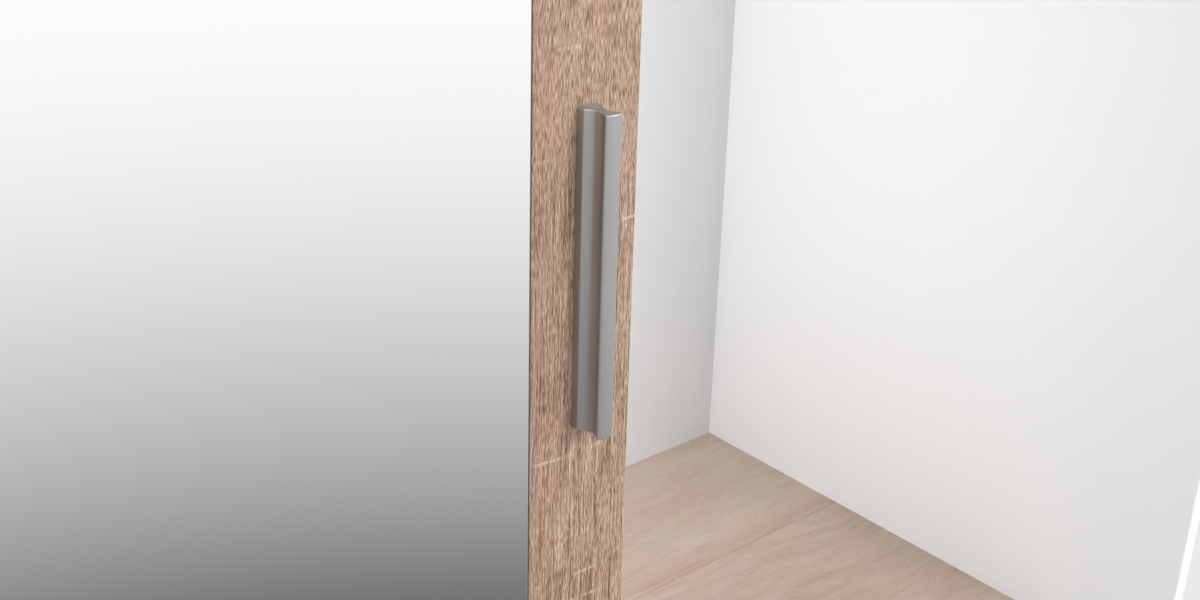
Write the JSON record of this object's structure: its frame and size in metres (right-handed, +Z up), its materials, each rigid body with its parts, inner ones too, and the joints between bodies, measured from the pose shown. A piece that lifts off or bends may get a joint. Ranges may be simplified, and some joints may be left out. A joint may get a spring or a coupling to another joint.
{
  "type": "sliding door wardrobe",
  "caption": "Tall flat-pack wardrobe with mirrored oak doors that slide on a double track, shelves on one side and a hanging rail on the other.",
  "frame": {"origin": "on the floor, in the middle of the overall outline", "axes": "+X to the right seen from the front, +Y from the front to the back, +Z up"},
  "size_m": [1.5, 0.6094, 2.038],
  "materials": {
    "white_board": "satin white laminate",
    "oak_board": "saw-rough oak decor laminate",
    "back_board": "white lacquered hardboard",
    "mirror_glass": "silvered float glass",
    "mirror_tape": "foam tape",
    "handle_metal": "satin anodised",
    "track_metal": "clear anodised",
    "rail_chrome": "polished chrome",
    "wheel_nylon": "natural nylon",
    "housing_plastic": "grey moulded plastic",
    "bumper_rubber": "pale soft rubber",
    "glide_plastic": "brown moulded plastic",
    "fixing_steel": "bright zinc plated",
    "dowel_beech": "bare beech"
  },
  "bodies": {
    "carcass": {"cam_locks": "fixing_steel", "cam_bolts": "fixing_steel", "dowels": "dowel_beech", "shelf_pins": "fixing_steel", "left_rail_socket": "fixing_steel", "right_rail_socket": "fixing_steel", "rail_socket_screws": "fixing_steel", "hanging_rail": "rail_chrome", "bottom_track": "track_metal", "top_track": "track_metal", "track_screws": "fixing_steel", "door_bumpers": "bumper_rubber", "glides": "glide_plastic", "left_wall_bracket": "fixing_steel", "right_wall_bracket": "fixing_steel", "wall_bracket_screws": "fixing_steel", "left_side_panel": "white_board", "right_side_panel": "white_board", "top_panel": "oak_board", "bottom_panel": "oak_board", "centre_partition": "white_board", "front_plinth": "white_board", "rear_plinth": "white_board", "plinth_brace": "white_board", "left_back_panel": "back_board", "right_back_panel": "back_board", "hat_shelf": "oak_board", "lower_shelf": "oak_board", "left_shelf_1": "oak_board", "left_shelf_2": "oak_board", "left_shelf_3": "oak_board", "left_shelf_4": "oak_board", "left_shelf_5": "oak_board"},
    "right_door": {"right_door_board": "oak_board", "right_mirror": "mirror_glass", "right_mirror_tape": "mirror_tape", "right_handle": "handle_metal", "right_handle_screws": "fixing_steel", "right_axles": "fixing_steel", "right_top_guides": "housing_plastic", "right_hardware_screws": "fixing_steel", "right_outer_roller_housing": "housing_plastic", "right_inner_roller_housing": "housing_plastic"},
    "left_door": {"left_door_board": "oak_board", "left_mirror": "mirror_glass", "left_mirror_tape": "mirror_tape", "left_handle": "handle_metal", "left_handle_screws": "fixing_steel", "left_axles": "fixing_steel", "left_top_guides": "housing_plastic", "left_hardware_screws": "fixing_steel", "left_outer_roller_housing": "housing_plastic", "left_inner_roller_housing": "housing_plastic"},
    "right_outer_wheel_body": {"right_outer_wheel": "wheel_nylon"},
    "left_outer_wheel_body": {"left_outer_wheel": "wheel_nylon"},
    "right_inner_wheel_body": {"right_inner_wheel": "wheel_nylon"},
    "left_inner_wheel_body": {"left_inner_wheel": "wheel_nylon"}
  },
  "joints": [
    {"name": "right_door_slide", "type": "slide", "parent": "carcass", "child": "right_door", "axis": [1, 0, 0], "range_m": [-0.048, 0.658]},
    {"name": "left_door_slide", "type": "slide", "parent": "carcass", "child": "left_door", "axis": [1, 0, 0], "range_m": [0, 0.706]},
    {"name": "right_outer_wheel_roll", "type": "hinge", "parent": "right_door", "child": "right_outer_wheel_body", "pos_m": [-0.005, -0.2598, 0.0953], "axis": [0, 1, 0], "continuous": true},
    {"name": "right_inner_wheel_roll", "type": "hinge", "parent": "right_door", "child": "right_inner_wheel_body", "pos_m": [-0.605, -0.2598, 0.0953], "axis": [0, 1, 0], "continuous": true},
    {"name": "left_outer_wheel_roll", "type": "hinge", "parent": "left_door", "child": "left_outer_wheel_body", "pos_m": [-0.653, -0.2158, 0.0953], "axis": [0, 1, 0], "continuous": true},
    {"name": "left_inner_wheel_roll", "type": "hinge", "parent": "left_door", "child": "left_inner_wheel_body", "pos_m": [-0.053, -0.2158, 0.0953], "axis": [0, 1, 0], "continuous": true}
  ],
  "couplings": [
    {"joint": "right_outer_wheel_roll", "follows": "right_door_slide", "rad_per_m": 100},
    {"joint": "right_inner_wheel_roll", "follows": "right_door_slide", "rad_per_m": 100},
    {"joint": "left_outer_wheel_roll", "follows": "left_door_slide", "rad_per_m": 100},
    {"joint": "left_inner_wheel_roll", "follows": "left_door_slide", "rad_per_m": 100}
  ]
}
